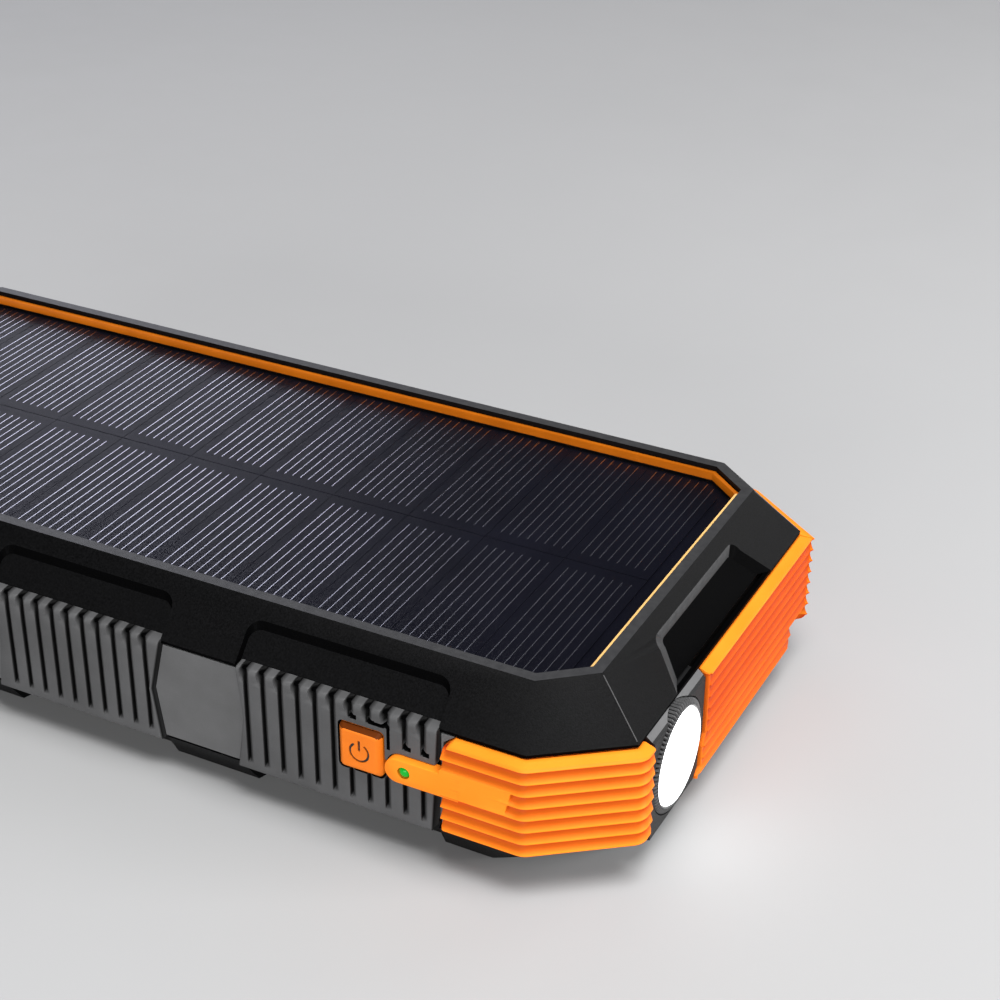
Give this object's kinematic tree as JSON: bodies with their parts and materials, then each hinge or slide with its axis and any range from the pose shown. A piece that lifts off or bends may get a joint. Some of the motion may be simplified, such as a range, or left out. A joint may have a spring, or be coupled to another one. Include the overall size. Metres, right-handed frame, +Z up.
{
  "type": "solar power bank",
  "caption": "Rugged solar power bank with ribbed grips, corner bumpers, a push button, a flashlight and a hinged cover over its charging ports.",
  "frame": {"origin": "under the middle of the case, on the surface that it stands on", "axes": "+X to the flashlight and port end, +Z up out of the solar panel, -Y to the side with the power button"},
  "size_m": [0.1876, 0.0904, 0.032],
  "materials": {
    "frame_black": "fine moulded texture, satin sheen",
    "grip_grey": "smooth matt soft-touch rubber over plastic",
    "silicone_orange": "matt orange silicone",
    "trim_orange": "satin orange moulding",
    "cell_silicon": "dark silicon with fine printed fingers",
    "clear_film": "clear laminated film",
    "board_green": "solder-masked circuit board",
    "board_black": "black panel board under the cells",
    "steel": "bright plated steel",
    "connector_black": "moulded connector plastic",
    "lens_white": "opal white diffusing lens",
    "reflector_chrome": "vacuum-metallised cup",
    "emitter_yellow": "phosphor-coated light emitter",
    "light_green": "clear green light pipe",
    "battery_foil": "laminated pouch foil",
    "foam_black": "closed-cell foam",
    "rubber_black": "matt black rubber",
    "inductor_grey": "moulded ferrite",
    "wire_red": "wire insulation",
    "wire_black": "wire insulation"
  },
  "bodies": {
    "case": {"battery_cell_lower": "battery_foil", "battery_cell_upper": "battery_foil", "battery_foam_middle": "foam_black", "battery_foam_top": "foam_black", "battery_lead_negative": "wire_black", "battery_lead_positive": "wire_red", "bumper_far_left": "silicone_orange", "bumper_far_right": "silicone_orange", "bumper_near_left": "silicone_orange", "bumper_near_right": "silicone_orange", "case_screw_1": "steel", "case_screw_2": "steel", "case_screw_3": "steel", "case_screw_4": "steel", "case_screw_5": "steel", "case_screw_6": "steel", "case_screw_7": "steel", "case_screw_8": "steel", "case_seal": "rubber_black", "cell_string_far": "cell_silicon", "cell_string_near": "cell_silicon", "charge_controller": "connector_black", "flashlight_bezel": "rubber_black", "flashlight_board": "board_green", "flashlight_emitter": "emitter_yellow", "flashlight_housing": "frame_black", "flashlight_lens": "lens_white", "flashlight_reflector": "reflector_chrome", "foot_1": "rubber_black", "foot_2": "rubber_black", "foot_3": "rubber_black", "foot_4": "rubber_black", "grip_far_left": "grip_grey", "grip_far_middle": "grip_grey", "grip_far_right": "grip_grey", "grip_near_left": "grip_grey", "grip_near_middle": "grip_grey", "grip_near_right": "grip_grey", "main_board": "board_green", "mid_housing": "grip_grey", "panel_board": "board_black", "panel_cover_film": "clear_film", "panel_trim": "trim_orange", "power_inductor": "inductor_grey", "power_switch": "connector_black", "rear_cover": "frame_black", "solar_lead_negative": "wire_black", "solar_lead_positive": "wire_red", "status_led": "light_green", "status_light_pipe": "light_green", "top_frame": "frame_black", "usb_a_shell_1": "steel", "usb_a_shell_2": "steel", "usb_a_tongue_1": "connector_black", "usb_a_tongue_2": "connector_black", "usb_c_shell": "steel", "usb_c_tongue": "connector_black"},
    "button": {"power_button": "silicone_orange", "switch_plunger": "connector_black"},
    "cover": {"port_cover": "silicone_orange"}
  },
  "joints": [
    {"name": "button_press", "type": "slide", "parent": "case", "child": "button", "axis": [0, 1, 0], "range_m": [0, 0.0006], "stiffness_N_per_m": 600, "springref_m": -0.001},
    {"name": "cover_hinge", "type": "hinge", "parent": "case", "child": "cover", "pos_m": [0.0939, 0.03435, 0.0145], "axis": [0, 0, 1], "range_deg": [0, 115]}
  ]
}
